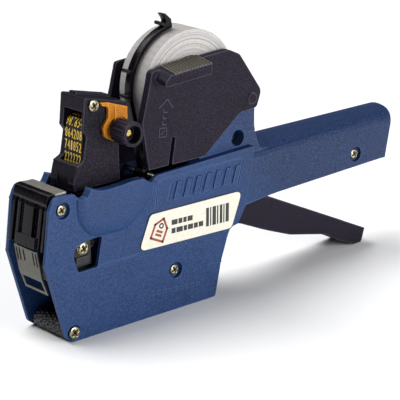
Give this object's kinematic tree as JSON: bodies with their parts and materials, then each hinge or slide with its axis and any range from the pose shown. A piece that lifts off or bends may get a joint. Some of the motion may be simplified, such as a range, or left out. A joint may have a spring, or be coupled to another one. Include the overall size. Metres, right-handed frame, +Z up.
{
  "type": "price labeling gun",
  "caption": "Hand-held price labeling gun: two-shell housing, squeeze trigger, print head with number bands, label roll, peel plate and applicator roller.",
  "frame": {"origin": "middle of the flat base the gun stands on, on the parting plane of the two housing shells", "axes": "+Z up, +X towards the handle, -X towards the nose, -Y the gun's left side with the selector knob"},
  "size_m": [0.2445, 0.0445, 0.1516],
  "materials": {
    "housing_blue": "fine matte texture, moulded ABS",
    "black_plastic": "fine matte texture, moulded",
    "dark_plastic": "satin moulded",
    "orange_plastic": "satin gloss moulded",
    "steel": "bright turned steel",
    "satin_plate": "satin plated sheet",
    "screw_metal": "pale plated screw",
    "band_rubber": "matte rubber with raised digits",
    "label_paper": "matte coated paper, wound",
    "core_card": "rough wound card",
    "label_film": "printed film label",
    "ink_felt": "inked felt"
  },
  "bodies": {
    "housing": {"left_shell": "housing_blue", "right_shell": "housing_blue", "nose_screw": "screw_metal", "body_screw": "screw_metal", "handle_screw": "screw_metal", "tower_screw": "screw_metal", "roller_screw": "screw_metal", "left_label": "label_film", "right_label": "label_film", "trigger_pin": "steel", "head_pin": "steel", "feed_axle": "steel", "ink_arm_pin": "steel", "tension_arm_pin": "steel", "base_cover_pin": "steel", "roller_axle": "steel", "nose_top_plate": "satin_plate", "nose_cover": "black_plastic", "peel_plate": "satin_plate", "platen": "dark_plastic", "adjuster_block": "dark_plastic", "adjuster_washer": "screw_metal", "adjuster_screw": "screw_metal", "trigger_spring": "steel", "right_roll_plate": "black_plastic", "cover_pin_left": "steel", "cover_pin_right": "steel"},
    "base_cover": {"base_cover": "housing_blue"},
    "applicator_roller": {"applicator_roller": "black_plastic"},
    "trigger": {"trigger": "black_plastic"},
    "print_head": {"head_cover": "black_plastic", "head_frame": "black_plastic", "type_band_1": "band_rubber", "type_band_2": "band_rubber", "type_band_3": "band_rubber", "type_band_4": "band_rubber", "type_band_5": "band_rubber", "type_band_6": "band_rubber", "band_shaft": "steel", "selector_bracket": "orange_plastic", "head_screw": "screw_metal"},
    "selector_shaft": {"selector_shaft": "steel"},
    "selector_knob": {"selector_knob": "black_plastic"},
    "ink_arm": {"ink_arm": "steel", "ink_roller_pin": "steel"},
    "ink_roller": {"ink_roller": "ink_felt"},
    "feed_wheel": {"feed_wheel": "dark_plastic"},
    "feed_lever": {"feed_lever": "dark_plastic"},
    "roll_cover": {"roll_cover": "black_plastic"},
    "label_roll": {"label_roll": "label_paper", "roll_core": "core_card"},
    "tension_arm": {"tension_arm": "black_plastic"}
  },
  "joints": [
    {"name": "trigger_squeeze", "type": "hinge", "parent": "housing", "child": "trigger", "pos_m": [0.056, 0, 0.046], "axis": [0, -1, 0], "range_deg": [0, 18], "stiffness_Nm_per_rad": 1.2, "springref_deg": -20.05, "deforming": ["trigger_spring"]},
    {"name": "head_drop", "type": "hinge", "parent": "housing", "child": "print_head", "pos_m": [0.048, 0, 0.066], "axis": [0, -1, 0], "range_deg": [0, 9]},
    {"name": "ink_arm_swing", "type": "hinge", "parent": "housing", "child": "ink_arm", "pos_m": [-0.0035, 0, 0.0607], "axis": [0, -1, 0], "range_deg": [0, 43.2]},
    {"name": "feed_lever_swing", "type": "hinge", "parent": "housing", "child": "feed_lever", "pos_m": [0.002, 0, 0.021], "axis": [0, 1, 0], "range_deg": [0, 21.6]},
    {"name": "feed_wheel_spin", "type": "hinge", "parent": "housing", "child": "feed_wheel", "pos_m": [0.002, 0, 0.021], "axis": [0, 1, 0], "continuous": true},
    {"name": "ink_roller_spin", "type": "hinge", "parent": "ink_arm", "child": "ink_roller", "pos_m": [-0.0285, 0, 0.0458], "axis": [0, 1, 0], "continuous": true},
    {"name": "selector_pull", "type": "slide", "parent": "print_head", "child": "selector_shaft", "axis": [0, -1, 0], "range_m": [0, 0.006]},
    {"name": "selector_turn", "type": "hinge", "parent": "selector_shaft", "child": "selector_knob", "pos_m": [-0.0106, 0, 0.101], "axis": [0, 1, 0], "continuous": true},
    {"name": "roll_cover_swing", "type": "hinge", "parent": "housing", "child": "roll_cover", "pos_m": [0.074, 0, 0.102], "axis": [0, 1, 0], "range_deg": [0, 65]},
    {"name": "label_roll_spin", "type": "hinge", "parent": "housing", "child": "label_roll", "pos_m": [0.0374, 0, 0.1134], "axis": [0, 1, 0], "continuous": true},
    {"name": "tension_arm_swing", "type": "hinge", "parent": "housing", "child": "tension_arm", "pos_m": [0.0135, 0, 0.071], "axis": [0, -1, 0], "range_deg": [0, 6]},
    {"name": "base_cover_swing", "type": "hinge", "parent": "housing", "child": "base_cover", "pos_m": [0.04, 0, 0.0036], "axis": [0, -1, 0], "range_deg": [0, 75]},
    {"name": "applicator_spin", "type": "hinge", "parent": "housing", "child": "applicator_roller", "pos_m": [-0.0456, 0, 0.005], "axis": [0, 1, 0], "continuous": true}
  ],
  "couplings": [
    {"joint": "head_drop", "follows": "trigger_squeeze", "ratio": 0.5},
    {"joint": "ink_arm_swing", "follows": "trigger_squeeze", "ratio": 2.36},
    {"joint": "feed_lever_swing", "follows": "trigger_squeeze", "ratio": 1.2}
  ]
}
